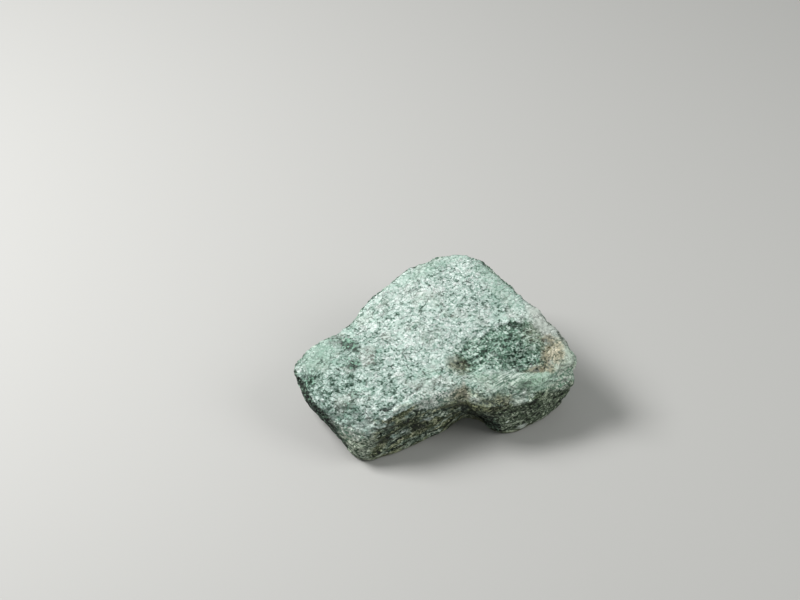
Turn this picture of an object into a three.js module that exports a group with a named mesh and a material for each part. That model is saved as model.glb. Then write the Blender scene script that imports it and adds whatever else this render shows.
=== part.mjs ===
// A piece of rough fuchsite: green chrome mica grown through pale quartz, in layers.
// It formed in one piece and was broken out of its bed, so it is one solid. A slab with a sparkling top,
// which lies along the layers, meets steep sides broken across them, and a lobe stands out at the right front.
// Millimetres, +Z up, +X along the longest side, and -Y is the front. The stone rests on its flat break at z = 0,
// with the origin under the middle of its outline.
import * as THREE from "three";
import { ImprovedNoise } from "three/addons/math/ImprovedNoise.js";
import { mergeVertices } from "three/addons/utils/BufferGeometryUtils.js";

// The stone's heart is the point that every break face is measured from
const HEART = new THREE.Vector3(2.6, -0.8, 11);
const REACH = new THREE.Vector3(31, 23, 12); // rough half sizes, which spread the triangles evenly
const MESH_STEPS = 21; // edge divisions of the 20-sided ball that the stone starts from, less one

// Flat break faces. A face looks towards an azimuth, from the front (0) round by the right (90) and the
// back (180), and an elevation above the horizon, in degrees. Its distance is from the heart, in mm.
const SLAB_FACES = {
  top: { azimuth: 0, elevation: 76, distance: 7.2 },
  topLeft: { azimuth: -38, elevation: 67, distance: 13.4 },
  leftFront: { azimuth: -50, elevation: -15, distance: 28.4 },
  left: { azimuth: -88, elevation: -10, distance: 34.4 },
  frontLeft: { azimuth: 26, elevation: -3, distance: 10.1 },
  brow: { azimuth: 24, elevation: 42, distance: 10.8 },
  tipBrow: { azimuth: -14, elevation: 30, distance: 18.6 },
  right: { azimuth: 124, elevation: 0, distance: 21 },
  nose: { azimuth: 92, elevation: -5, distance: 31.2 },
  backRight: { azimuth: 139, elevation: 5, distance: 20.9 },
  back: { azimuth: 198, elevation: 10, distance: 22.9 },
  backLeft: { azimuth: -138, elevation: 6, distance: 20.8 },
  base: { azimuth: 0, elevation: -90, distance: 11.9 },
  underLeft: { azimuth: -62, elevation: -52, distance: 26.5 },
  underFront: { azimuth: 20, elevation: -52, distance: 16.2 },
  underRight: { azimuth: 95, elevation: -50, distance: 24.5 },
  underBack: { azimuth: 175, elevation: -45, distance: 21.5 },
  underBackLeft: { azimuth: -130, elevation: -48, distance: 21.5 },
};
const LOBE_FACES = {
  top: { azimuth: 0, elevation: 76, distance: 6.6 },
  front: { azimuth: 8, elevation: -4, distance: 13.9 },
  brow: { azimuth: 12, elevation: 40, distance: 11.6 },
  rightBrow: { azimuth: 34, elevation: 40, distance: 17.8 },
  frontLeft: { azimuth: -32, elevation: -6, distance: 5.4 },
  rightFront: { azimuth: 40, elevation: -10, distance: 20.1 },
  nose: { azimuth: 92, elevation: -5, distance: 31.2 },
  right: { azimuth: 124, elevation: 0, distance: 20.6 },
  base: { azimuth: 0, elevation: -90, distance: 11.9 },
  under: { azimuth: 30, elevation: -50, distance: 21 },
  inside: { azimuth: 180, elevation: 0, distance: 4 },
};
const EDGE_SHARPNESS = 20; // a higher power leaves less rounding where two faces meet
const JOIN_SHARPNESS = 14; // the same for the crease where the lobe joins the slab

// Broad forms on the faces. Each is centred at a point, reaches so far along, across and up from it once it
// is turned about the vertical (degrees), and rises by so many mm, or sinks if negative.
const FORMS = {
  leftShoulder: { at: [-21, 5, 18], reach: [8, 6, 9], turn: 0, rise: -2 },
  leftBelly: { at: [-26, -11.5, 8], reach: [5, 6, 5], turn: 0, rise: 0.6 },
  backShoulder: { at: [22, 6, 17], reach: [4.5, 4, 7], turn: 0, rise: 1.2 },
  frontNotch: { at: [7.3, -10, 0.5], reach: [4.6, 6, 5], turn: 0, rise: -2.2 },
  notchFace: { at: [8, -11.5, 10.5], reach: [4.5, 4, 4.5], turn: 0, rise: 1.8 },
  notchBrow: { at: [7.5, -14, 14.5], reach: [5, 4, 4], turn: 0, rise: 0.8 },
  recess: { at: [14.5, -2, 18], reach: [11, 5.5, 6], turn: 12, rise: -1.1 },
  recessFloor: { at: [19.5, -5.6, 16.5], reach: [7, 2.8, 4], turn: -10, rise: -2.3 },
  recessSill: { at: [16.5, -11, 15.5], reach: [9, 2.2, 4], turn: 6, rise: 0.8 },
  rustBank: { at: [26.5, -4, 17.5], reach: [2.6, 5, 4], turn: 0, rise: 1 },
  brownPit: { at: [6.3, -6.5, 16.6], reach: [2.2, 1.7, 3], turn: 0, rise: -0.8 },
  noseRim: { at: [30.5, -4.2, 16.5], reach: [4, 4, 2.8], turn: 0, rise: 1.6 },
  noseBite: { at: [31, -5.5, 13], reach: [2.5, 3, 1.5], turn: 0, rise: -0.8 },
  noseNub: { at: [31, -5.5, 9.5], reach: [4, 4.5, 3], turn: 0, rise: 1.6 },
};

// The layers lie along the top face. Thick and thin ones take turns, and their broken edges stand out as
// ledges on the sides, which come and go along the stone.
const LAYERS = {
  azimuth: 0,
  elevation: 76,
  thickness: 3.1,
  thickAndThin: 0.3,
  ledge: 0.8,
  waver: 0.4,
  waverLength: 13,
  comeAndGoLength: 7,
};
// Unevenness of the whole surface: the length of its waves and how far they rise, in mm
const UNEVEN = [
  { length: 13, rise: 0.6 },
  { length: 5.5, rise: 0.4 },
  { length: 2.8, rise: 0.2 },
];

const noise = new ImprovedNoise();

function facing(azimuth, elevation) {
  const a = THREE.MathUtils.degToRad(azimuth);
  const e = THREE.MathUtils.degToRad(elevation);
  return new THREE.Vector3(Math.sin(a) * Math.cos(e), -Math.cos(a) * Math.cos(e), Math.sin(e));
}

function blockOf(faces) {
  return Object.values(faces).map((face) => ({
    normal: facing(face.azimuth, face.elevation),
    distance: face.distance,
  }));
}

// How far a ray from the heart runs inside a block, whose faces meet in slightly rounded edges
function runInside(block, ray) {
  let sum = 0;
  for (const face of block) {
    const share = face.normal.dot(ray) / face.distance;
    if (share > 0) sum += share ** EDGE_SHARPNESS;
  }
  return sum ** (-1 / EDGE_SHARPNESS);
}

// The ray's end on the slab or the lobe, whichever is further out
function blockPoint(blocks, ray) {
  const sum = blocks.reduce((total, block) => total + runInside(block, ray) ** JOIN_SHARPNESS, 0);
  return ray.clone().multiplyScalar(sum ** (1 / JOIN_SHARPNESS)).add(HEART);
}

function formRise(form, point) {
  const turn = THREE.MathUtils.degToRad(form.turn);
  const away = point.clone().sub(new THREE.Vector3(...form.at));
  away.applyAxisAngle(new THREE.Vector3(0, 0, 1), -turn).divide(new THREE.Vector3(...form.reach));
  return form.rise * Math.exp(-away.lengthSq());
}

function noiseAt(point, length, shift) {
  const p = point.clone().divideScalar(length).addScalar(shift);
  return noise.noise(p.x, p.y, p.z);
}

// A layer's edge swells slowly and then drops off sharply, as broken mica schist does
function ledgeRise(point, normal) {
  const across = facing(LAYERS.azimuth, LAYERS.elevation);
  const even = point.dot(across) / LAYERS.thickness + LAYERS.waver * noiseAt(point, LAYERS.waverLength, 0);
  const turns = even + LAYERS.thickAndThin * Math.sin(2.1 * even);
  const phase = turns - Math.floor(turns);
  const swell = phase < 0.65 ? phase / 0.65 : (1 - phase) / 0.35;
  const strength = THREE.MathUtils.smoothstep(noiseAt(point, LAYERS.comeAndGoLength, 4.7), -0.35, 0.35);
  const side = 1 - normal.dot(across) ** 2;
  return LAYERS.ledge * (swell - 0.5) * strength * side;
}

function unevenRise(point) {
  return UNEVEN.reduce((total, wave, n) => total + wave.rise * noiseAt(point, wave.length, 17.3 * n), 0);
}

// Moves each point of the surface by what change() gives for it and its outward normal
function reshape(geometry, change) {
  const position = geometry.getAttribute("position");
  const normal = geometry.getAttribute("normal");
  const point = new THREE.Vector3();
  const outward = new THREE.Vector3();
  for (let i = 0; i < position.count; i += 1) {
    point.fromBufferAttribute(position, i);
    outward.fromBufferAttribute(normal, i);
    point.copy(change(point, outward));
    position.setXYZ(i, point.x, point.y, point.z);
  }
  geometry.computeVertexNormals();
}

function stoneGeometry() {
  const ball = new THREE.IcosahedronGeometry(1, MESH_STEPS);
  ball.deleteAttribute("normal");
  ball.deleteAttribute("uv");
  const geometry = mergeVertices(ball, 1e-5);
  geometry.computeVertexNormals();
  const blocks = [blockOf(SLAB_FACES), blockOf(LOBE_FACES)];
  reshape(geometry, (point) => blockPoint(blocks, point.multiply(REACH)));
  reshape(geometry, (point, outward) => {
    const rise = Object.values(FORMS).reduce((total, form) => total + formRise(form, point), 0);
    return point.addScaledVector(outward, rise);
  });
  reshape(geometry, (point, outward) => {
    const rise = ledgeRise(point, outward) + unevenRise(point);
    return point.addScaledVector(outward, rise);
  });
  // The flat break that it rests on, and the origin under the middle
  reshape(geometry, (point) => point.setZ(Math.max(point.z, 0)));
  geometry.computeBoundingBox();
  const middle = geometry.boundingBox.getCenter(new THREE.Vector3());
  return geometry.translate(-middle.x, -middle.y, 0);
}

const mica = new THREE.MeshStandardMaterial({ color: 0x9db8ab, roughness: 0.6, metalness: 0 });

const stone = new THREE.Mesh(stoneGeometry(), mica);
stone.name = "fuchsite_stone";

const root = new THREE.Group();
root.add(stone);
export default root;
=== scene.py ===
from math import cos, degrees, radians, sin

import bpy
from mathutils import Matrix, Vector, noise as unevenness
from mathutils.geometry import intersect_point_line


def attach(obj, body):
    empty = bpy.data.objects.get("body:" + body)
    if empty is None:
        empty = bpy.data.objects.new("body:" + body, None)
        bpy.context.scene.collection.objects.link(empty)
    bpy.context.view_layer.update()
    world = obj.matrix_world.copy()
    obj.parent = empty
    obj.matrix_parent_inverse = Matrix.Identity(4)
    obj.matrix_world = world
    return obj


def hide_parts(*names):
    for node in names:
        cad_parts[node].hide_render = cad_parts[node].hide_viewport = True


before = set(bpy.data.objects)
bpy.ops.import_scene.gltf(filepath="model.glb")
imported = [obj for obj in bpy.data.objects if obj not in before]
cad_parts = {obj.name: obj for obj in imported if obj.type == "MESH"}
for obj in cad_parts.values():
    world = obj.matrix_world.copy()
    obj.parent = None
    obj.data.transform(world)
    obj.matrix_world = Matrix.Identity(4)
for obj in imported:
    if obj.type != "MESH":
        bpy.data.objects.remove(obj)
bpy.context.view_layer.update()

# The camera
# It looks down at the stone's front from 48 degrees up, with a long lens, and a little past the stone's
# left and back, so that the stone lies right of and below the middle of the picture, as in the photograph.
VIEW_ELEVATION = radians(48)
VIEW_DISTANCE = 0.417
LOOKED_AT = Vector((-0.00762, 0.00878, 0.0189))
towards_camera = Vector((0, -cos(VIEW_ELEVATION), sin(VIEW_ELEVATION)))
bpy.ops.object.camera_add(
    location=LOOKED_AT + towards_camera * VIEW_DISTANCE,
    rotation=(radians(90) - VIEW_ELEVATION, 0, 0),
)
camera = bpy.context.object
camera.data.lens = 85
camera.data.clip_start = 0.01
bpy.context.scene.camera = camera

# The stone
# One broken piece of rock: fine flakes of green chrome mica grown through pale quartz, pressed into layers.
# It split along a layer on top and broke across the layers at its sides. Its broad form is the packed
# solid's, and the finer breaks, ledges, cracks and grains are worked into a close mesh made from that solid.
MM = 0.001
LAYER_TILT = radians(14)  # the layers come down towards the front
ACROSS_LAYERS = Vector((0, -sin(LAYER_TILT), cos(LAYER_TILT)))
MESH_SIZE = 0.285 * MM
BASE_HEIGHT = 0.05 * MM

cad_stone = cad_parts["fuchsite_stone"]
stone = bpy.data.objects.new("mica_stone", cad_stone.data.copy())
bpy.context.scene.collection.objects.link(stone)
bpy.ops.object.select_all(action="DESELECT")
stone.select_set(True)
bpy.context.view_layer.objects.active = stone
bpy.ops.object.mode_set(mode="EDIT")
bpy.ops.mesh.select_all(action="SELECT")
bpy.ops.mesh.remove_doubles(threshold=0.001 * MM)
bpy.ops.object.mode_set(mode="OBJECT")


def finish_with(kind, **settings):
    """Adds a modifier to the stone, with these settings, and applies it."""
    bpy.context.view_layer.objects.active = stone
    modifier = stone.modifiers.new(kind.lower(), kind)
    for name, value in settings.items():
        setattr(modifier, name, value)
    bpy.ops.object.modifier_apply(modifier=modifier.name)


finish_with("REMESH", mode="VOXEL", voxel_size=MESH_SIZE, use_smooth_shade=True)
finish_with("SMOOTH", factor=0.5, iterations=10)

# The colours need to know which way the broad form faces, and where the hollow and the lines are
outward = stone.data.attributes.new("outward", "FLOAT_VECTOR", "POINT")
for vertex in stone.data.vertices:
    outward.data[vertex.index].vector = vertex.normal
for name in ("hollow", "groove_shade", "ridges"):
    stone.data.attributes.new(name, "FLOAT", "POINT")


def ease(value, low, high):
    """0 below low, 1 above high, and smooth between them."""
    share = min(max((value - low) / (high - low), 0), 1)
    return share * share * (3 - 2 * share)


def move_out(name, height, weights, kept_as, kept_share=1.0):
    """Moves the surface out by height (mm) times each vertex's weight, and keeps a share of the weights."""
    moved_part = stone.vertex_groups.new(name=name)
    for index, weight in weights.items():
        moved_part.add([index], weight, "REPLACE")
        kept = stone.data.attributes[kept_as].data[index]
        kept.value = max(kept.value, weight * kept_share)
    finish_with("DISPLACE", strength=height * MM, mid_level=0, vertex_group=name)


def group(name, weight_of):
    """A vertex group of the stone, with the weight that weight_of gives for a point (mm) and its normal."""
    weights = stone.vertex_groups.new(name=name)
    for vertex in stone.data.vertices:
        weight = weight_of(vertex.co / MM, vertex.normal)
        if weight > 0.01:
            weights.add([vertex.index], min(weight, 1), "REPLACE")
    return name


def top_share(point, normal):
    return ease(normal.dot(ACROSS_LAYERS), 0.5, 0.78) * ease(point.z, 6, 9)


def side_share(point, normal):
    return (1 - ease(abs(normal.dot(ACROSS_LAYERS)), 0.5, 0.85)) * ease(point.z, 0.2, 1.5)


def brow_share(point, normal):
    facing_up = normal.dot(ACROSS_LAYERS)
    return ease(facing_up, 0.2, 0.45) * (1 - ease(facing_up, 0.8, 0.95)) * ease(point.z, 4, 7)


def raised_share(point, normal):
    return ease(point.z, 0.2, 1.5)


# Breaks and grains: each is a procedural height, stretched along the layers where the rock is
def rough_up(name, kind, size, height, where, stretch=(1, 1, 1), **settings):
    """Displaces the stone by a texture in the layers' frame, with features size mm wide, times stretch."""
    bpy.ops.object.empty_add(rotation=(LAYER_TILT, 0, 0))
    grid = bpy.context.object
    grid.scale = Vector(stretch) * size * MM
    bpy.context.view_layer.update()
    texture = bpy.data.textures.new(name, kind)
    texture.noise_scale = 1
    for setting, value in settings.items():
        setattr(texture, setting, value)
    finish_with(
        "DISPLACE",
        texture=texture,
        texture_coords="OBJECT",
        texture_coords_object=grid,
        strength=height * MM,
        mid_level=0.5,
        vertex_group=where,
    )
    bpy.data.objects.remove(grid)


sides = group("sides", side_share)
raised = group("raised", raised_share)
rough_up("thick_layers", "CLOUDS", 1.4, 1.0, sides, stretch=(5, 5, 0.8), noise_depth=1)
rough_up("thin_layers", "CLOUDS", 0.7, 0.5, sides, stretch=(4, 4, 0.6), noise_depth=1)
rough_up("broad_lumps", "CLOUDS", 3.2, 0.5, raised, noise_depth=2)
brows = group("brows", brow_share)
rough_up("edge_breaks", "CLOUDS", 1.5, 0.7, brows, noise_type="HARD_NOISE", noise_depth=2)

# The hollow at the right, where a few layers have broken out of the top: its outline from above, in mm
HOLLOW_EDGE = [
    (16.4, 2.0), (12, 0), (8.5, -1.6), (5.4, -4.4), (4.6, -8), (8, -9.2), (14, -8), (19.5, -7.4),
    (23.6, -7.8), (24.7, -4.4), (24.4, -1), (20.7, 1.5), (16.4, 2.0),
]
HOLLOW_DEPTH = 0.4
HOLLOW_BANK = 1.4  # how wide its bank is
HOLLOW_RAGGED = 1.8  # how far its edge strays
HOLLOW_RAG_SIZE = 1.7  # how wide the rags are
unevenness.seed_set(1)  # the edges of the hollow and the lines stray the same way each run


def distance_to(line, spot):
    """How far a spot is from the nearest point of a line through these points."""
    nearest = 1e9
    for start, end in zip(line, line[1:]):
        share = intersect_point_line(spot, start, end)[1]
        on_line = start.lerp(end, min(max(share, 0), 1))
        nearest = min(nearest, (spot - on_line).length)
    return nearest


def hollow_share(point):
    """1 well inside the hollow's outline, 0 outside it, and between them across its bank."""
    spot = point + HOLLOW_RAGGED * unevenness.noise_vector(point / HOLLOW_RAG_SIZE)
    spot.z = 0
    crossings = 0
    for (x1, y1), (x2, y2) in zip(HOLLOW_EDGE, HOLLOW_EDGE[1:]):
        if (y1 > spot.y) != (y2 > spot.y) and spot.x < x1 + (spot.y - y1) * (x2 - x1) / (y2 - y1):
            crossings += 1
    distance = distance_to([Vector((x, y, 0)) for x, y in HOLLOW_EDGE], spot)
    depth = distance if crossings % 2 else -distance
    return ease(depth, -HOLLOW_BANK / 2, HOLLOW_BANK / 2)


hollow_weights = {}
for vertex in stone.data.vertices:
    if vertex.co.x > 0 and vertex.co.z > 12 * MM:
        hollow_weights[vertex.index] = hollow_share(vertex.co / MM)
move_out("hollow_floor", -HOLLOW_DEPTH, hollow_weights, kept_as="hollow")

# Cracks, pits, ledge lines and streaks, each along a line of points in mm
LINE_RAGGED = 0.35  # how far a line's edge strays, as a share of its width
LINE_RAG_SIZE = 0.7 * MM
DARKEST_DEPTH = 0.6  # a line this deep or high takes its full colour


def press(name, line, width, depth):
    """Presses a ragged groove of this width and depth (mm) along the line, or raises a ridge if depth < 0."""
    points = [Vector(point) * MM for point in line]
    middle = sum(points, Vector()) / len(points)
    reach = max((point - middle).length for point in points) + width * MM
    weights = {}
    for vertex in stone.data.vertices:
        if (vertex.co - middle).length > reach:
            continue
        spot = vertex.co + LINE_RAGGED * width * MM * unevenness.noise_vector(vertex.co / LINE_RAG_SIZE)
        weight = 1 - ease(distance_to(points, spot) / MM, 0, width / 2)
        if weight > 0.01:
            weights[vertex.index] = weight
    kept_as = "groove_shade" if depth > 0 else "ridges"
    move_out(name, -depth, weights, kept_as, min(abs(depth) / DARKEST_DEPTH, 1))


press("slit", [(-11.9, -18.7, 14.3), (-9.7, -18.4, 14.4)], 1.3, 0.9)
press("slit_tail", [(-9.7, -18.4, 14.4), (-8.2, -16.8, 14.8)], 0.9, 0.4)
press("slit_ledge", [(-8.8, -18.7, 14.3), (-7.4, -17.6, 14.6), (-4.6, -17.4, 14.7)], 1.2, -0.25)
press("left_crack", [(-22.6, -12.6, 15), (-20.5, -14.2, 15)], 0.9, 0.3)
press("front_streak", [(-4.1, -14.6, 15.6), (-2.7, -13.3, 15.9)], 0.8, 0.25)
press("middle_streak", [(-0.8, -14, 16), (0.3, -12.6, 16.2)], 0.9, 0.3)
press("back_streak", [(-5.2, 8.9, 21.5), (-3.4, 9.7, 21.7)], 0.8, 0.3)
press("centre_streak", [(-1.2, 0.6, 19.4), (0.5, 1.1, 19.5)], 0.8, 0.3)
press("hollow_back", [(16.6, 1.4, 19.2), (19.2, 0.4, 19)], 2.0, 0.4)
press("hollow_line", [(6.6, -7, 16.2), (8.9, -5.9, 16.5)], 0.9, 0.35)
press("right_needle", [(18.6, -2.4, 17.4), (18.6, -4.3, 16.6)], 0.8, 0.4)
press("left_needle", [(14.4, -5, 15.8), (14.6, -6.2, 15.3)], 0.8, 0.4)
press("hollow_front", [(14.8, -7.8, 15.2), (19.8, -7.5, 14.1), (23.3, -8, 14.8)], 1.3, 0.4)
press("sill_pit", [(18.4, -11.9, 14.8), (20.6, -11.5, 14.7)], 1.3, 0.3)
press("lobe_pit", [(27.8, -9.1, 13), (28.4, -8.6, 12.8)], 1.6, 0.5)
press("lobe_hole", [(26.7, -10.1, 9.6), (27.3, -9.6, 9.2)], 1.9, 0.7)
press("lobe_seam", [(15.9, -15, 9.5), (18, -14.6, 10.5)], 0.7, -0.2)
press("band_vein", [(-10.9, -20.9, 5), (-8.7, -19.7, 6.4), (-5.5, -18.3, 7.8)], 0.8, -0.2)
press("band_seam", [(-7.2, -19, 5.2), (-5.4, -18.2, 6.8)], 0.7, -0.2)

top = group("top", top_share)
rough_up("quartz_grains", "VORONOI", 1.0, 0.22, top, weight_1=-1, weight_2=1, noise_intensity=1.2)
rough_up("loose_grains", "VORONOI", 0.7, 0.22, top, color_mode="POSITION")
rough_up("side_grains", "VORONOI", 1.0, 0.34, sides, stretch=(1.8, 1.8, 0.6), color_mode="POSITION")

# The flat break that it rests on
bpy.ops.object.mode_set(mode="EDIT")
bpy.ops.mesh.select_all(action="DESELECT")
bpy.ops.object.mode_set(mode="OBJECT")
for vertex in stone.data.vertices:
    vertex.select = vertex.co.z < BASE_HEIGHT
bpy.ops.object.mode_set(mode="EDIT")
bpy.ops.transform.resize(value=(1, 1, 0), center_override=(0, 0, 0))
bpy.ops.object.mode_set(mode="OBJECT")
stone.vertex_groups.clear()


class Wire:
    """A shader socket. Arithmetic on wires, or on a wire and a number, adds Math nodes."""

    def __init__(self, tree, socket):
        self.tree = tree
        self.socket = socket

    def node(self, kind, inputs, output=0, stops=None, **settings):
        """Adds a node of this kind and gives one of its outputs. An input is a number, a colour or a wire."""
        node = self.tree.nodes.new(kind)
        for name, value in settings.items():
            setattr(node, name, value)
        if stops:
            while len(node.color_ramp.elements) < len(stops):
                node.color_ramp.elements.new(0.5)
            for element, (position, colour) in zip(node.color_ramp.elements, stops):
                element.position = position
                element.color = (*colour, 1)
        for name, value in inputs.items():
            if isinstance(value, Wire):
                self.tree.links.new(value.socket, node.inputs[name])
            else:
                node.inputs[name].default_value = value
        return None if output is None else Wire(self.tree, node.outputs[output])

    def also(self, output):
        """Another output of the same node."""
        return Wire(self.tree, self.socket.node.outputs[output])

    def calc(self, operation, *values):
        return self.node("ShaderNodeMath", dict(enumerate(values)), operation=operation)

    def __add__(self, other):
        return self.calc("ADD", self, other)

    def __radd__(self, other):
        return self.calc("ADD", other, self)

    def __sub__(self, other):
        return self.calc("SUBTRACT", self, other)

    def __rsub__(self, other):
        return self.calc("SUBTRACT", other, self)

    def __mul__(self, other):
        return self.calc("MULTIPLY", self, other)

    def __rmul__(self, other):
        return self.calc("MULTIPLY", other, self)


def rgb(red, green, blue):
    """A colour given as on a screen, as the linear one that shaders use."""
    return tuple((value / 255) ** 2.2 for value in (red, green, blue))


rock = bpy.data.materials.new("fuchsite_rock")
rock.use_nodes = True
tree = rock.node_tree
tree.nodes.clear()
place = Wire(tree, tree.nodes.new("ShaderNodeTexCoord").outputs["Object"])


def kept_value(name, output="Fac"):
    """A value or a vector that was kept on the mesh."""
    return place.node("ShaderNodeAttribute", {}, output=output, attribute_name=name)


def vector_math(operation, first, second, output="Vector"):
    inputs = {0: first, "Scale" if operation == "SCALE" else 1: second}
    return place.node("ShaderNodeVectorMath", inputs, output=output, operation=operation)


def sized(vector, *sizes):
    """The vector in units of these sizes, in mm."""
    return vector_math("MULTIPLY", vector, tuple(1 / (size * MM) for size in sizes))


def turned(vector, x=0, y=0, z=0):
    """The vector in a frame that is turned by these angles, in degrees."""
    angles = (-radians(x), -radians(y), -radians(z))
    return place.node("ShaderNodeMapping", {"Vector": vector, "Rotation": angles})


def noise(vector, detail=2.0, roughness=0.5):
    return place.node(
        "ShaderNodeTexNoise", {"Vector": vector, "Scale": 1.0, "Detail": detail, "Roughness": roughness}
    )


def cells(vector, output="Color", **settings):
    """A pattern of cells of one unit, each with a colour of its own."""
    return place.node("ShaderNodeTexVoronoi", {"Vector": vector, "Scale": 1.0}, output=output, **settings)


def moved(vector, grain, reach):
    """The vector pushed about by noise with features of this size, by up to this reach, in mm."""
    push = noise(sized(place, grain, grain, grain), detail=3).also("Color")
    push = vector_math("SUBTRACT", push, (0.5, 0.5, 0.5))
    return vector_math("ADD", vector, vector_math("SCALE", push, 2 * reach * MM))


def between(value, low, high):
    """0 below low, 1 above high, and smooth between them."""
    inputs = {"Value": value, "From Min": low, "From Max": high}
    return place.node("ShaderNodeMapRange", inputs, interpolation_type="SMOOTHSTEP")


def mixed(factor, first, second, how="MIX"):
    """Two colours in one: the second replaces the first, or works on it, by the factor."""
    pair = {}
    for index, colour in ((6, first), (7, second)):
        pair[index] = colour if isinstance(colour, Wire) else (*colour, 1)
    return place.node(
        "ShaderNodeMix", {0: factor, **pair}, output=2, data_type="RGBA", blend_type=how, clamp_factor=True
    )


def ramp(value, *stops):
    return place.node("ShaderNodeValToRGB", {"Fac": value}, stops=stops)


def largest(*masks):
    result = masks[0]
    for mask in masks[1:]:
        result = result.calc("MAXIMUM", result, mask)
    return result


layered = turned(place, x=degrees(LAYER_TILT))
ragged = moved(place, 2.0, 1.6)
smooth_facing = kept_value("outward", output="Vector")
coarse = noise(sized(place, 5, 5, 5), detail=2)
fine = noise(sized(layered, 1.4, 1.4, 1.0), detail=3)


def patch(at, reach, turn=0, edge=0.5):
    """1 inside an oval on the stone and 0 outside, with a ragged edge. Sizes in mm, turn in degrees."""
    inputs = {
        "Vector": ragged,
        "Location": Vector(at) * MM,
        "Rotation": (0, 0, radians(turn)),
        "Scale": Vector(reach) * MM,
    }
    oval = place.node("ShaderNodeMapping", inputs, vector_type="TEXTURE")
    distance = vector_math("LENGTH", oval, (0, 0, 0), output="Value")
    return 1 - between(distance, 1 - edge, 1 + edge)


def faces(direction, low, high):
    """1 where the stone's broad form faces this way, 0 where it doesn't, with a ragged edge between."""
    share = vector_math("DOT_PRODUCT", smooth_facing, direction, output="Value")
    return between(share + 0.25 * (fine - 0.5) + 0.25 * (coarse - 0.5), low, high)


def red_of(colours):
    """The red of a pattern's colours, which gives each cell a number from 0 to 1 of its own."""
    return place.node("ShaderNodeSeparateColor", {"Color": colours})


# Flakes and grains: a cell of the pattern is one of them, with a tone, a shine and a tilt of its own. They
# lie in two directions, and are longer than wide.
FLAKE_SIZE = (0.6, 0.32, 0.3)
GRAIN_SIZE = (0.9, 0.75, 0.6)
jagged = moved(layered, 0.5, 0.18)
which_way = between(noise(sized(layered, 1.8, 1.8, 1.2)), 0.46, 0.54)
flakes_left = sized(turned(jagged, z=-38), *FLAKE_SIZE)
flakes_right = sized(turned(jagged, z=32), *FLAKE_SIZE)
flakes = mixed(which_way, cells(flakes_left), cells(flakes_right))
tone = red_of(flakes)
shine = tone.also("Green")
grains = red_of(cells(sized(jagged, *GRAIN_SIZE)))
gaps = cells(sized(jagged, *GRAIN_SIZE), output="Distance", feature="DISTANCE_TO_EDGE")

# Dark green specks gather in short runs that rise to the right, and white glints lie between them
runs = noise(sized(turned(moved(layered, 1.5, 0.5), z=28), 2.8, 0.9, 1.1), detail=2)
speckle = red_of(cells(sized(jagged, 0.52, 0.42, 0.42)))
specks = between(speckle + 1.4 * (runs - 0.5), 0.8, 0.88)
glitter = red_of(cells(sized(jagged, 0.4, 0.34, 0.34)))
glints = between(glitter - 0.5 * (runs - 0.5), 0.87, 0.92)

# Hair cracks between the grains, in short broken runs
crack_place = sized(turned(moved(layered, 1.2, 0.5), z=28), 4.4, 1.9, 2)
crack_net = cells(crack_place, output="Distance", feature="DISTANCE_TO_EDGE")
cracks = (1 - between(crack_net, 0.0, 0.05)) * between(noise(sized(place, 2.4, 2.4, 2.4)), 0.52, 0.62)
groove_shade = kept_value("groove_shade")
ridges = kept_value("ridges")

# The top: sugary quartz and pale mica, with painted shade that darkens it towards the left, the back right
# and along the front
# painted shade: the top darkened where less light falls on it
shaded_top = largest(
    patch((-22, -10, 16), (9, 8, 9), edge=0.8),
    0.5 * patch((14, 8, 21), (7, 8, 9), turn=-40, edge=0.8),
    0.6 * patch((-4, -14, 15), (14, 5, 6), turn=10, edge=0.8),
    0.9 * patch((15, -10.6, 15), (12, 3, 5), turn=4, edge=0.6),
    1.4 * patch((-19, -17.2, 13.4), (3.6, 2.6, 2.4), turn=-30, edge=0.7),
)
coarser = patch((-20, -11, 16), (10, 9, 9), edge=0.7)
furrows = noise(sized(turned(moved(layered, 1.2, 0.4), z=36), 3.2, 0.55, 1.2), detail=3)
lower_front = patch((-2, -15, 15.5), (15, 4.4, 5), turn=4, edge=0.6)
dark_groups = between(noise(sized(layered, 2.4, 2, 2)), 0.5, 0.6)
brightness = 0.46 * tone + 0.18 * grains + 0.5 * fine + 0.26 * (coarse - 0.5) - 0.02
brightness = brightness - 0.28 * specks + 0.22 * glints - 0.11 * shaded_top
brightness = brightness - coarser * (0.3 * between(grains, 0.72, 0.82) + 0.13 * dark_groups)
brightness = brightness + (0.25 + 0.75 * lower_front) * (furrows - 0.5)
top_colour = ramp(
    brightness,
    (0.06, rgb(32, 58, 45)),
    (0.22, rgb(92, 118, 106)),
    (0.38, rgb(136, 158, 149)),
    (0.58, rgb(176, 194, 187)),
    (0.8, rgb(214, 224, 220)),
)
blush = between(noise(sized(ragged, 5, 5, 4), detail=3), 0.5, 0.66)
top_colour = mixed(0.2 * blush, top_colour, rgb(188, 178, 174))
mint = between(noise(sized(ragged, 4.2, 4.2, 4), detail=3) + 0.2 * (tone - 0.5), 0.54, 0.68)
top_colour = mixed(0.25 * mint, top_colour, rgb(132, 178, 157))
soft_grain = 0.7 * fine + 0.3 * tone
smooth_mint = mixed(soft_grain, rgb(106, 141, 124), rgb(178, 204, 190))
shoulder = largest(
    patch((-25.8, -4.4, 16.6), (4, 4.6, 5)),
    0.4 * patch((-15.5, 4.2, 19), (9, 1.6, 6), turn=36),
    0.6 * patch((-2, 14.6, 22), (12, 1.7, 7), turn=28),
    0.7 * patch((13.5, 11, 21.5), (8, 2.2, 7), turn=-51),
)
top_colour = mixed(0.62 * shoulder, top_colour, smooth_mint)
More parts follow.
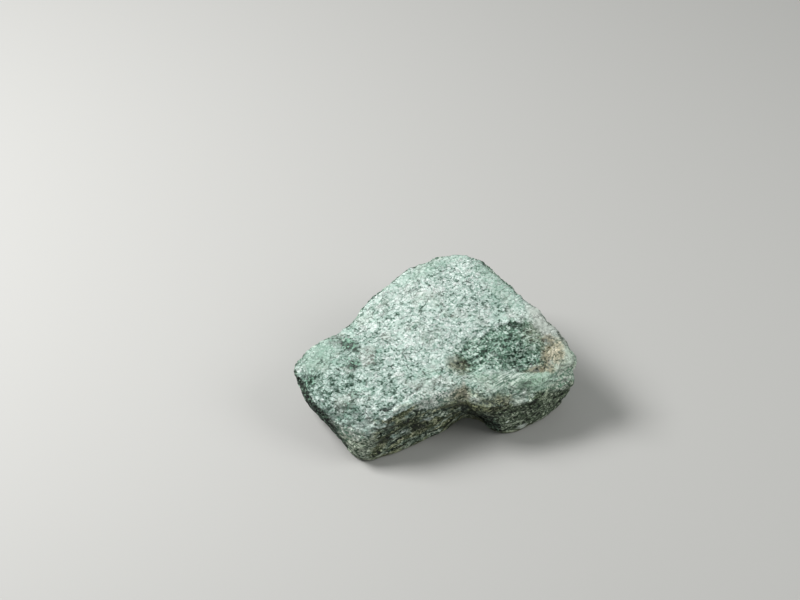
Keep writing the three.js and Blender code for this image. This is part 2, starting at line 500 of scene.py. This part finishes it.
green_spots = largest(
    patch((-18.8, -3.2, 18), (2.2, 1.6, 4), turn=-35, edge=0.5),
    0.9 * patch((-17.6, -7.8, 17), (1.6, 1.2, 4), turn=-35, edge=0.5),
    0.6 * patch((-21, -2, 17.8), (2.6, 1.5, 4), turn=-20, edge=0.7),
    0.8 * patch((-27.2, -10.4, 14.5), (2.2, 1.8, 3), edge=0.7),
)
green_colour = mixed(between(tone + 0.4 * (grains - 0.5), 0.45, 1.0), rgb(6, 40, 25), rgb(132, 174, 152))
top_colour = mixed(0.92 * green_spots, top_colour, green_colour)

# The hollow: coarser, darker mica, with painted shade that makes it darkest at its back right and along its
# front
in_hollow = between(kept_value("hollow") + 0.9 * (fine - 0.5) + 0.7 * (coarse - 0.5), 0.2, 0.8)
hollow_start = patch((8.2, -6, 17), (5, 3.8, 4), turn=20, edge=0.6)
hollow_stain = patch((22.4, -0.2, 18.6), (3, 3, 4), edge=0.7)
in_hollow = largest(in_hollow, 0.9 * hollow_start, 0.7 * hollow_stain)
# painted shade in the back of the hollow, under the top's edge; hollow_shade below is painted shade along its
# front
hollow_back_shade = patch((17.8, -0.6, 18), (6.2, 4, 6), edge=0.9)
hollow_shade = patch((19.8, -6.8, 15.4), (4.4, 1.6, 2.6))
pit = patch((4.8, -8.2, 16.6), (2.3, 2.2, 3), edge=0.6)
hollow_tone = 0.62 * tone + 0.4 * grains + 0.6 * (fine - 0.5) - 0.18 * hollow_back_shade - 0.12 * hollow_start
hollow_tone = hollow_tone - 0.22 * specks + 0.25 * glints - 0.28 * hollow_shade - 0.3 * pit + 0.05
hollow_colour = ramp(
    hollow_tone,
    (0.06, rgb(16, 34, 24)),
    (0.26, rgb(62, 92, 75)),
    (0.5, rgb(118, 149, 133)),
    (0.86, rgb(200, 217, 208)),
)
hollow_colour = mixed(0.5 * hollow_stain, hollow_colour, mixed(tone, rgb(40, 42, 28), rgb(146, 144, 122)))
top_colour = mixed(in_hollow, top_colour, hollow_colour)

# The sill in front of the hollow: smooth mint, with a white fibrous ledge, then the pale rim and the rust
sill = patch((20, -10.2, 15), (9.5, 2.4, 3.4), turn=4)
sill_colour = mixed(0.6 * fine + 0.4 * tone, rgb(84, 118, 98), rgb(182, 206, 188))
top_colour = mixed(0.65 * sill, top_colour, sill_colour)
fibres = noise(sized(turned(layered, z=40), 2.4, 0.3, 1), detail=2)
fibre_colour = mixed(between(fibres + 0.2 * (tone - 0.5), 0.38, 0.6), rgb(70, 96, 84), rgb(198, 210, 204))
fibre_ledge = patch((15.8, -10.4, 15.3), (4, 2.4, 3), turn=30)
top_colour = mixed(0.85 * fibre_ledge, top_colour, fibre_colour)
sill_green = patch((19.6, -11.9, 14.7), (1.9, 0.9, 2), turn=10)
top_colour = mixed(0.6 * sill_green, top_colour, mixed(tone, rgb(30, 52, 38), rgb(84, 112, 94)))
pale_rim = patch((23.6, 2.2, 19.8), (4.8, 2.1, 4), turn=-52, edge=0.4)
top_colour = mixed(0.85 * pale_rim, top_colour, mixed(soft_grain, rgb(128, 140, 132), rgb(208, 212, 206)))
nose = patch((28.6, -5, 17), (2.8, 4.6, 4))
top_colour = mixed(0.7 * nose, top_colour, mixed(soft_grain, rgb(116, 140, 120), rgb(222, 230, 214)))
rust = largest(
    patch((26, -4.8, 17.5), (2.0, 3.4, 5), turn=8),
    0.8 * patch((24.3, -7.6, 15.4), (1.9, 1.5, 2)),
)
rust_grain = between(fine + 0.7 * (tone - 0.5) - 0.3 * specks, 0.1, 0.9)
top_colour = mixed(0.75 * rust, top_colour, mixed(rust_grain, rgb(74, 67, 42), rgb(184, 171, 140)))
# a darker rust edge along the hollow's right bank and front, which along the front also serves as a painted
# shadow under the ledge
rust_edge_and_shadow = largest(
    patch((24, -5.6, 16.4), (0.9, 2.2, 3), turn=6),
    patch((22, -7.6, 14.9), (3, 1, 2)),
    0.8 * patch((24.5, -1.9, 18.4), (1.4, 1.5, 2)),
)
top_colour = mixed(0.75 * rust_edge_and_shadow, top_colour, mixed(rust_grain, rgb(38, 36, 22), rgb(134, 124, 96)))

def seamed(value, seam, dark, pale, edge):
    """The colours of a broken side, from its dark seams to the layers' pale edges."""
    return ramp(value, (0.14, rgb(*seam)), (0.38, rgb(*dark)), (0.58, rgb(*pale)), (0.9, rgb(*edge)))


# The broken sides: streaks of the layers' edges. Old stains and painted shade make the front olive and dark,
# and the left is painted near black, partly a dark stain and partly painted shade.
FRONT = (0.25, -0.97, 0)
LEFT_FRONT = (-0.77, -0.64, 0)
streak_run = turned(moved(layered, 1.4, 0.3), y=-14)
streaks = noise(sized(streak_run, 3.6, 3.6, 0.4), detail=5, roughness=0.75)
lenses = noise(sized(streak_run, 5, 5, 1.2), detail=2)
side_sparkle = 0.38 * (tone - 0.5) + 0.35 * glints - 0.2 * specks
side_tone = 0.52 + 1.4 * (streaks - 0.5) + (lenses - 0.5) + side_sparkle
green_side = seamed(side_tone, (20, 38, 27), (70, 95, 80), (122, 149, 133), (200, 215, 203))
olive_side = seamed(side_tone, (8, 12, 4), (46, 56, 34), (100, 110, 80), (196, 200, 168))
grey_side = seamed(side_tone, (8, 13, 8), (44, 57, 46), (98, 116, 100), (200, 212, 196))
olive_side = mixed(between(noise(sized(streak_run, 6, 6, 1.8)), 0.44, 0.56), olive_side, grey_side)
lobe_run = turned(moved(layered, 1.4, 0.3), y=-32)
lobe_streaks = noise(sized(lobe_run, 3, 3, 0.36), detail=5, roughness=0.75)
lobe_tone = 0.52 + 1.4 * (lobe_streaks - 0.5) + (lenses - 0.5) + side_sparkle
lobe_side = seamed(lobe_tone, (8, 12, 6), (44, 56, 40), (92, 108, 86), (196, 208, 186))
# painted shade on the left face: near black, with a few pale grains and a ragged edge; partly a dark stain as
# well
left_shade_rags = noise(sized(streak_run, 4.5, 4.5, 1.6), detail=4, roughness=0.7)
left_grain = between(0.6 * tone + 0.4 * fine - 0.6 * (left_shade_rags - 0.5) + 0.4 * glints, 0.52, 0.95)
left_shade_colour = mixed(left_grain, rgb(4, 10, 5), rgb(118, 148, 128))
left_share = vector_math("DOT_PRODUCT", smooth_facing, LEFT_FRONT, output="Value")
left_share = left_share + 0.3 * (fine - 0.5) + 0.4 * (coarse - 0.5) + 0.9 * (left_shade_rags - 0.5)
left_face = between(left_share, 0.58, 0.92)
height = place.node("ShaderNodeSeparateXYZ", {0: place}, output="Z")
on_lobe = between(height.also("X") + 3 * MM * (coarse - 0.5), 8 * MM, 14 * MM)
# the front faces take the olive colours: an olive stain, made darker as painted shade
stained_shaded_front = faces(FRONT, 0.15, 0.75)
side_colour = mixed(stained_shaded_front, green_side, mixed(on_lobe, olive_side, lobe_side))
side_colour = mixed(0.95 * left_face, side_colour, left_shade_colour)
# dark patches on the front: stains on the band, and painted shade in the notch and under the brow
dark_stains_and_shade = largest(
    0.8 * patch((7, -13.6, 10.2), (2.8, 2.4, 1.6)),
    0.7 * patch((13.4, -15.2, 12), (3, 1.6, 1.2)),
    0.8 * patch((-10.8, -20.7, 6.2), (1.8, 1.6, 1.3)),
    0.7 * patch((-9.4, -20.4, 11), (2, 1.2, 0.8)),
    0.6 * patch((-3.2, -17, 6.6), (3.2, 2, 2.2)),
    0.8 * patch((9.4, -11.6, 4.6), (3.2, 3.4, 4)),
)
side_colour = mixed(dark_stains_and_shade, side_colour, mixed(tone, rgb(8, 11, 5), rgb(44, 52, 34)))
# painted light: the sides paler along the foot, where light bounces up from the floor
bounce_lit_foot = 1 - between(height + 1.4 * MM * (coarse - 0.5), 0.6 * MM, 1.9 * MM)
side_colour = mixed(0.5 * bounce_lit_foot, side_colour, mixed(tone, rgb(84, 90, 64), rgb(172, 174, 146)))
lit_grain = between(fine + 0.9 * (tone - 0.5), 0.15, 0.85)
# the pale green at the stone's front left point, made lighter than it is as painted light on its steep faces
lit_tip_patch = patch((-17.4, -20.8, 8.2), (4, 3, 8), edge=0.35)
side_colour = mixed(0.8 * lit_tip_patch, side_colour, mixed(lit_grain, rgb(58, 82, 62), rgb(206, 216, 196)))
lit_tip_mint = patch((-18.4, -20.2, 10.2), (4.4, 3, 3), edge=0.5)
side_colour = mixed(0.85 * lit_tip_mint, side_colour, mixed(lit_grain, rgb(110, 142, 124), rgb(240, 248, 240)))
# the pale mint-grey at the right end's front, made lighter as painted light where it lies in shade
lit_nub = largest(patch((27.6, -8.6, 13.4), (4.6, 3, 3.2)), patch((23, -10.6, 14.2), (4, 2, 1.6)))
side_colour = mixed(0.85 * lit_nub, side_colour, mixed(lit_grain, rgb(120, 160, 136), rgb(240, 250, 238)))
rim_side = patch((27, 0.8, 17.4), (4.6, 2.4, 2.6), turn=-56)
side_colour = mixed(0.75 * rim_side, side_colour, mixed(lit_grain, rgb(140, 150, 138), rgb(214, 218, 208)))

# Where the top turns into the sides: brows lightened as painted light, an olive band under them, rust,
# painted highlights and glints, painted shade in the gaps between grains and in the pressed lines, and cracks
upward = vector_math("DOT_PRODUCT", smooth_facing, tuple(ACROSS_LAYERS), output="Value")
# painted light: the brows take the top's pale colours where less light falls on them
lit_brow = largest(
    patch((3.4, -14.9, 12.8), (7.5, 2.6, 2.4)),
    0.85 * patch((-21.5, -17.6, 12), (6.5, 2.8, 2.4), turn=-34),
)
upward = upward - 0.06 * on_lobe * stained_shaded_front + 0.45 * lit_brow + 0.6 * (fine - 0.5) + 0.3 * (coarse - 0.5)
upward = upward + 0.5 * (streaks - 0.5) - 0.14 * left_face
colour = mixed(between(upward, 0.44, 0.66), side_colour, top_colour)
warm_mint = patch((16, -13, 13.8), (12, 3.6, 3.4), edge=0.7)
colour = mixed(0.6 * warm_mint, colour, rgb(248, 255, 242), how="MULTIPLY")
# a painted highlight along the front brow
lit_brow_mint = patch((1.8, -15.5, 13.7), (7.2, 2.4, 1.9), edge=0.4)
colour = mixed(0.85 * lit_brow_mint, colour, mixed(lit_grain, rgb(112, 142, 126), rgb(248, 254, 248)))
olive = largest(
    patch((7.8, -15.4, 11.6), (6.6, 2.6, 1.6), edge=0.6),
    patch((12.4, -15, 12.8), (3.6, 1.8, 1.4), edge=0.6),
)
olive_colour = mixed(between(streaks + 0.5 * (tone - 0.5), 0.3, 0.76), rgb(30, 38, 20), rgb(156, 162, 126))
colour = mixed(0.8 * olive, colour, olive_colour)
colour = mixed(0.65 * pit, colour, mixed(rust_grain, rgb(36, 38, 24), rgb(148, 146, 116)))
brow_rust = largest(
    patch((5.4, -13.8, 14), (2, 1.5, 1.6), edge=0.6),
    0.4 * patch((15.2, -14.9, 13), (2, 1, 1)),
)
colour = mixed(0.65 * brow_rust, colour, mixed(rust_grain, rgb(72, 64, 40), rgb(190, 178, 140)))
# pale yellow patches on the brow; the one at the left is also a painted highlight
cream_and_highlight = largest(patch((8.4, -14.3, 14.6), (1.8, 0.7, 0.9)), patch((2.6, -14.9, 13.3), (1.3, 0.7, 0.9)))
colour = mixed(0.6 * cream_and_highlight * lit_grain, colour, rgb(208, 220, 192))
# painted glints on the sill and on the lobe's front
painted_glints = largest(patch((19.3, -13, 13.8), (0.6, 0.7, 0.9)), patch((19.2, -13.4, 2.4), (1.2, 1, 0.9)))
colour = mixed(0.8 * painted_glints, colour, rgb(222, 232, 224))
# painted shade in the gaps between grains, in broken runs
gap_shade = (1 - between(gaps, 0.0, 0.1)) * between(fine, 0.38, 0.62)
colour = mixed(0.5 * gap_shade, colour, rgb(56, 82, 68), how="MULTIPLY")
colour = mixed(0.75 * cracks, colour, rgb(40, 60, 48))
# painted shade in the pressed slits, pits and lines, darker the further they are pressed in
colour = mixed(0.9 * groove_shade, colour, rgb(14, 24, 18))
colour = mixed(0.9 * ridges, colour, mixed(tone, rgb(140, 152, 132), rgb(216, 220, 204)))

# Each flake of mica is tilted its own way, so that some catch the light and glitter
FLAKE_TILT = 0.8
RELIEF_DEPTH = 0.12 * MM
MICA_IOR = 1.56
facing = Wire(tree, tree.nodes.new("ShaderNodeNewGeometry").outputs["Normal"])
tilt = vector_math("SCALE", vector_math("SUBTRACT", flakes, (0.5, 0.5, 0.5)), FLAKE_TILT)
flake_facing = vector_math("NORMALIZE", vector_math("ADD", facing, tilt), (0, 0, 0))
relief = place.node(
    "ShaderNodeBump",
    {
        "Height": 0.8 * fine - gap_shade - 1.5 * cracks,
        "Distance": RELIEF_DEPTH,
        "Strength": 0.7,
        "Normal": flake_facing,
    },
)
skin = place.node(
    "ShaderNodeBsdfPrincipled",
    {
        "Base Color": colour,
        "Roughness": 0.28 + 0.4 * shine + 0.35 * left_face,
        "Normal": relief,
        "IOR": MICA_IOR,
        "Specular IOR Level": 0.3,
    },
)
place.node("ShaderNodeOutputMaterial", {"Surface": skin}, output=None)
stone.data.materials.clear()
stone.data.materials.append(rock)
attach(stone, "root")
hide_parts("fuchsite_stone")

# The floor and the light
# The stone lies on a plain pale floor, under a large soft lamp high on its left, as in the photograph, and a
# weaker one from the right, in a dim even surround.
bpy.ops.object.select_all(action="DESELECT")
bpy.ops.mesh.primitive_circle_add(vertices=64, radius=1.5, fill_type="NGON", location=(0, 0, 0))
floor = bpy.context.object
floor.name = "floor"
paper = bpy.data.materials.new("pale_paper")
paper.use_nodes = True
paper.node_tree.nodes["Principled BSDF"].inputs["Base Color"].default_value = (0.4, 0.4, 0.39, 1)
paper.node_tree.nodes["Principled BSDF"].inputs["Roughness"].default_value = 0.9
floor.data.materials.append(paper)
STONE_MIDDLE = Vector((0, 0, 10)) * MM


def softbox(name, place_mm, size_mm, power, colour):
    """A square lamp that faces the stone, of this power in watts."""
    at = Vector(place_mm) * MM
    bpy.ops.object.light_add(type="AREA", location=at)
    lamp = bpy.context.object
    lamp.name = name
    lamp.data.size = size_mm * MM
    lamp.data.energy = power
    lamp.data.color = colour
    lamp.rotation_euler = (at - STONE_MIDDLE).to_track_quat("Z", "Y").to_euler()


softbox("key", (-235, 60, 285), 150, 1.88, (1, 0.99, 0.985))
softbox("fill", (260, -60, 260), 200, 0.5, (1, 1, 0.98))
world = bpy.data.worlds.new("surround")
bpy.context.scene.world = world
world.use_nodes = True
world.node_tree.nodes["Background"].inputs["Color"].default_value = (0.96, 1, 0.97, 1)
world.node_tree.nodes["Background"].inputs["Strength"].default_value = 0.3
bpy.context.scene.view_settings.view_transform = "Standard"
